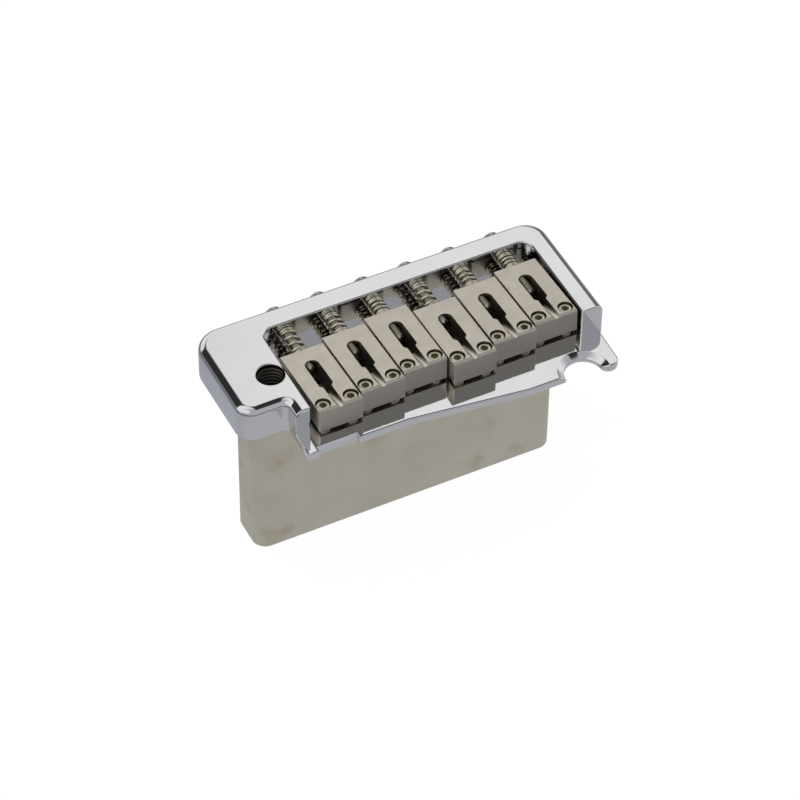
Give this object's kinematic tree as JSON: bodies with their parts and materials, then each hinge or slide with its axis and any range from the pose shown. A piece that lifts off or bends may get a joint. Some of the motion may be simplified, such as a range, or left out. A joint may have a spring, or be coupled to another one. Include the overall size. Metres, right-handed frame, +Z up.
{
  "type": "guitar tremolo bridge",
  "caption": "Guitar tremolo bridge: chromed frame with knife-edge pivots and an arm hole, block saddles on sprung screws, and a deep block below.",
  "frame": {"origin": "on the block's foot, midway between the outer strings and 7.15 mm behind the block's front face", "axes": "+X along the row of saddles from the arm side to the bass side, +Y towards the tail, +Z up, the way the arm leaves its hole"},
  "size_m": [0.0856, 0.0446, 0.0481],
  "materials": {
    "chrome": "polished",
    "block_nickel": "satin",
    "saddle_nickel": "satin",
    "screw_steel": "satin",
    "spring_steel": "satin"
  },
  "bodies": {
    "bridge": {"bridge_frame": "chrome", "sustain_block": "block_nickel", "block_screws": "screw_steel"},
    "spring_1": {"intonation_spring_1": "spring_steel"},
    "saddle_1": {"saddle_1": "saddle_nickel"},
    "intonation_screw_1": {"intonation_screw_1": "screw_steel"},
    "height_screw_1_treble": {"height_screw_1_treble": "screw_steel"},
    "height_screw_1_bass": {"height_screw_1_bass": "screw_steel"},
    "spring_2": {"intonation_spring_2": "spring_steel"},
    "saddle_2": {"saddle_2": "saddle_nickel"},
    "intonation_screw_2": {"intonation_screw_2": "screw_steel"},
    "height_screw_2_treble": {"height_screw_2_treble": "screw_steel"},
    "height_screw_2_bass": {"height_screw_2_bass": "screw_steel"},
    "spring_3": {"intonation_spring_3": "spring_steel"},
    "saddle_3": {"saddle_3": "saddle_nickel"},
    "intonation_screw_3": {"intonation_screw_3": "screw_steel"},
    "height_screw_3_treble": {"height_screw_3_treble": "screw_steel"},
    "height_screw_3_bass": {"height_screw_3_bass": "screw_steel"},
    "spring_4": {"intonation_spring_4": "spring_steel"},
    "saddle_4": {"saddle_4": "saddle_nickel"},
    "intonation_screw_4": {"intonation_screw_4": "screw_steel"},
    "height_screw_4_treble": {"height_screw_4_treble": "screw_steel"},
    "height_screw_4_bass": {"height_screw_4_bass": "screw_steel"},
    "spring_5": {"intonation_spring_5": "spring_steel"},
    "saddle_5": {"saddle_5": "saddle_nickel"},
    "intonation_screw_5": {"intonation_screw_5": "screw_steel"},
    "height_screw_5_treble": {"height_screw_5_treble": "screw_steel"},
    "height_screw_5_bass": {"height_screw_5_bass": "screw_steel"},
    "spring_6": {"intonation_spring_6": "spring_steel"},
    "saddle_6": {"saddle_6": "saddle_nickel"},
    "intonation_screw_6": {"intonation_screw_6": "screw_steel"},
    "height_screw_6_treble": {"height_screw_6_treble": "screw_steel"},
    "height_screw_6_bass": {"height_screw_6_bass": "screw_steel"}
  },
  "joints": [
    {"name": "saddle_1_slide", "type": "slide", "parent": "bridge", "child": "spring_1", "axis": [0, 1, 0], "range_m": [-0.0019, 0.0046], "deforming": ["intonation_spring_1"]},
    {"name": "saddle_1_tilt", "type": "hinge", "parent": "spring_1", "child": "saddle_1", "pos_m": [-0.027, 0.00145, 0.0449], "axis": [1, 0, 0], "range_deg": [-2, 2.1]},
    {"name": "intonation_screw_1_turn", "type": "hinge", "parent": "bridge", "child": "intonation_screw_1", "pos_m": [-0.027, 0.0115, 0.0449], "axis": [0, 1, 0], "range_deg": [-3681, 1521]},
    {"name": "height_screw_1_treble_turn", "type": "hinge", "parent": "spring_1", "child": "height_screw_1_treble", "pos_m": [-0.0303, -0.01449, 0.04149], "axis": [0, 0.061, 0.9981], "range_deg": [-396, 416]},
    {"name": "height_screw_1_bass_turn", "type": "hinge", "parent": "spring_1", "child": "height_screw_1_bass", "pos_m": [-0.0237, -0.01449, 0.04149], "axis": [0, 0.061, 0.9981], "range_deg": [-396, 416]},
    {"name": "saddle_2_slide", "type": "slide", "parent": "bridge", "child": "spring_2", "axis": [0, 1, 0], "range_m": [-0.0033, 0.0032], "deforming": ["intonation_spring_2"]},
    {"name": "saddle_2_tilt", "type": "hinge", "parent": "spring_2", "child": "saddle_2", "pos_m": [-0.0162, 0.00285, 0.0449], "axis": [1, 0, 0], "range_deg": [-2, 2.1]},
    {"name": "intonation_screw_2_turn", "type": "hinge", "parent": "bridge", "child": "intonation_screw_2", "pos_m": [-0.0162, 0.0115, 0.0449], "axis": [0, 1, 0], "range_deg": [-2561, 2641]},
    {"name": "height_screw_2_treble_turn", "type": "hinge", "parent": "spring_2", "child": "height_screw_2_treble", "pos_m": [-0.0195, -0.01309, 0.04149], "axis": [0, 0.061, 0.9981], "range_deg": [-396, 416]},
    {"name": "height_screw_2_bass_turn", "type": "hinge", "parent": "spring_2", "child": "height_screw_2_bass", "pos_m": [-0.0129, -0.01309, 0.04149], "axis": [0, 0.061, 0.9981], "range_deg": [-396, 416]},
    {"name": "saddle_3_slide", "type": "slide", "parent": "bridge", "child": "spring_3", "axis": [0, 1, 0], "range_m": [-0.0046, 0.0019], "deforming": ["intonation_spring_3"]},
    {"name": "saddle_3_tilt", "type": "hinge", "parent": "spring_3", "child": "saddle_3", "pos_m": [-0.0054, 0.00415, 0.0449], "axis": [1, 0, 0], "range_deg": [-2, 2.1]},
    {"name": "intonation_screw_3_turn", "type": "hinge", "parent": "bridge", "child": "intonation_screw_3", "pos_m": [-0.0054, 0.0115, 0.0449], "axis": [0, 1, 0], "range_deg": [-1521, 3681]},
    {"name": "height_screw_3_treble_turn", "type": "hinge", "parent": "spring_3", "child": "height_screw_3_treble", "pos_m": [-0.0087, -0.01179, 0.04149], "axis": [0, 0.061, 0.9981], "range_deg": [-396, 416]},
    {"name": "height_screw_3_bass_turn", "type": "hinge", "parent": "spring_3", "child": "height_screw_3_bass", "pos_m": [-0.0021, -0.01179, 0.04149], "axis": [0, 0.061, 0.9981], "range_deg": [-396, 416]},
    {"name": "saddle_4_slide", "type": "slide", "parent": "bridge", "child": "spring_4", "axis": [0, 1, 0], "range_m": [-0.002, 0.0045], "deforming": ["intonation_spring_4"]},
    {"name": "saddle_4_tilt", "type": "hinge", "parent": "spring_4", "child": "saddle_4", "pos_m": [0.0054, 0.00155, 0.0449], "axis": [1, 0, 0], "range_deg": [-2, 2.1]},
    {"name": "intonation_screw_4_turn", "type": "hinge", "parent": "bridge", "child": "intonation_screw_4", "pos_m": [0.0054, 0.0115, 0.0449], "axis": [0, 1, 0], "range_deg": [-3601, 1601]},
    {"name": "height_screw_4_treble_turn", "type": "hinge", "parent": "spring_4", "child": "height_screw_4_treble", "pos_m": [0.0021, -0.01439, 0.04149], "axis": [0, 0.061, 0.9981], "range_deg": [-396, 416]},
    {"name": "height_screw_4_bass_turn", "type": "hinge", "parent": "spring_4", "child": "height_screw_4_bass", "pos_m": [0.0087, -0.01439, 0.04149], "axis": [0, 0.061, 0.9981], "range_deg": [-396, 416]},
    {"name": "saddle_5_slide", "type": "slide", "parent": "bridge", "child": "spring_5", "axis": [0, 1, 0], "range_m": [-0.00385, 0.00265], "deforming": ["intonation_spring_5"]},
    {"name": "saddle_5_tilt", "type": "hinge", "parent": "spring_5", "child": "saddle_5", "pos_m": [0.0162, 0.0034, 0.0449], "axis": [1, 0, 0], "range_deg": [-2, 2.1]},
    {"name": "intonation_screw_5_turn", "type": "hinge", "parent": "bridge", "child": "intonation_screw_5", "pos_m": [0.0162, 0.0115, 0.0449], "axis": [0, 1, 0], "range_deg": [-2121, 3081]},
    {"name": "height_screw_5_treble_turn", "type": "hinge", "parent": "spring_5", "child": "height_screw_5_treble", "pos_m": [0.0129, -0.01254, 0.04149], "axis": [0, 0.061, 0.9981], "range_deg": [-396, 416]},
    {"name": "height_screw_5_bass_turn", "type": "hinge", "parent": "spring_5", "child": "height_screw_5_bass", "pos_m": [0.0195, -0.01254, 0.04149], "axis": [0, 0.061, 0.9981], "range_deg": [-396, 416]},
    {"name": "saddle_6_slide", "type": "slide", "parent": "bridge", "child": "spring_6", "axis": [0, 1, 0], "range_m": [-0.0051, 0.0014], "deforming": ["intonation_spring_6"]},
    {"name": "saddle_6_tilt", "type": "hinge", "parent": "spring_6", "child": "saddle_6", "pos_m": [0.027, 0.00465, 0.0449], "axis": [1, 0, 0], "range_deg": [-2, 2.1]},
    {"name": "intonation_screw_6_turn", "type": "hinge", "parent": "bridge", "child": "intonation_screw_6", "pos_m": [0.027, 0.0115, 0.0449], "axis": [0, 1, 0], "range_deg": [-1121, 4082]},
    {"name": "height_screw_6_treble_turn", "type": "hinge", "parent": "spring_6", "child": "height_screw_6_treble", "pos_m": [0.0237, -0.01129, 0.04149], "axis": [0, 0.061, 0.9981], "range_deg": [-396, 416]},
    {"name": "height_screw_6_bass_turn", "type": "hinge", "parent": "spring_6", "child": "height_screw_6_bass", "pos_m": [0.0303, -0.01129, 0.04149], "axis": [0, 0.061, 0.9981], "range_deg": [-396, 416]}
  ],
  "couplings": [
    {"joint": "intonation_screw_1_turn", "follows": "saddle_1_slide", "rad_per_m": -13963},
    {"joint": "height_screw_1_treble_turn", "follows": "saddle_1_tilt", "ratio": 197.29},
    {"joint": "height_screw_1_bass_turn", "follows": "saddle_1_tilt", "ratio": 197.29},
    {"joint": "intonation_screw_2_turn", "follows": "saddle_2_slide", "rad_per_m": -13963},
    {"joint": "height_screw_2_treble_turn", "follows": "saddle_2_tilt", "ratio": 197.29},
    {"joint": "height_screw_2_bass_turn", "follows": "saddle_2_tilt", "ratio": 197.29},
    {"joint": "intonation_screw_3_turn", "follows": "saddle_3_slide", "rad_per_m": -13963},
    {"joint": "height_screw_3_treble_turn", "follows": "saddle_3_tilt", "ratio": 197.29},
    {"joint": "height_screw_3_bass_turn", "follows": "saddle_3_tilt", "ratio": 197.29},
    {"joint": "intonation_screw_4_turn", "follows": "saddle_4_slide", "rad_per_m": -13963},
    {"joint": "height_screw_4_treble_turn", "follows": "saddle_4_tilt", "ratio": 197.29},
    {"joint": "height_screw_4_bass_turn", "follows": "saddle_4_tilt", "ratio": 197.29},
    {"joint": "intonation_screw_5_turn", "follows": "saddle_5_slide", "rad_per_m": -13963},
    {"joint": "height_screw_5_treble_turn", "follows": "saddle_5_tilt", "ratio": 197.29},
    {"joint": "height_screw_5_bass_turn", "follows": "saddle_5_tilt", "ratio": 197.29},
    {"joint": "intonation_screw_6_turn", "follows": "saddle_6_slide", "rad_per_m": -13963},
    {"joint": "height_screw_6_treble_turn", "follows": "saddle_6_tilt", "ratio": 197.29},
    {"joint": "height_screw_6_bass_turn", "follows": "saddle_6_tilt", "ratio": 197.29}
  ]
}
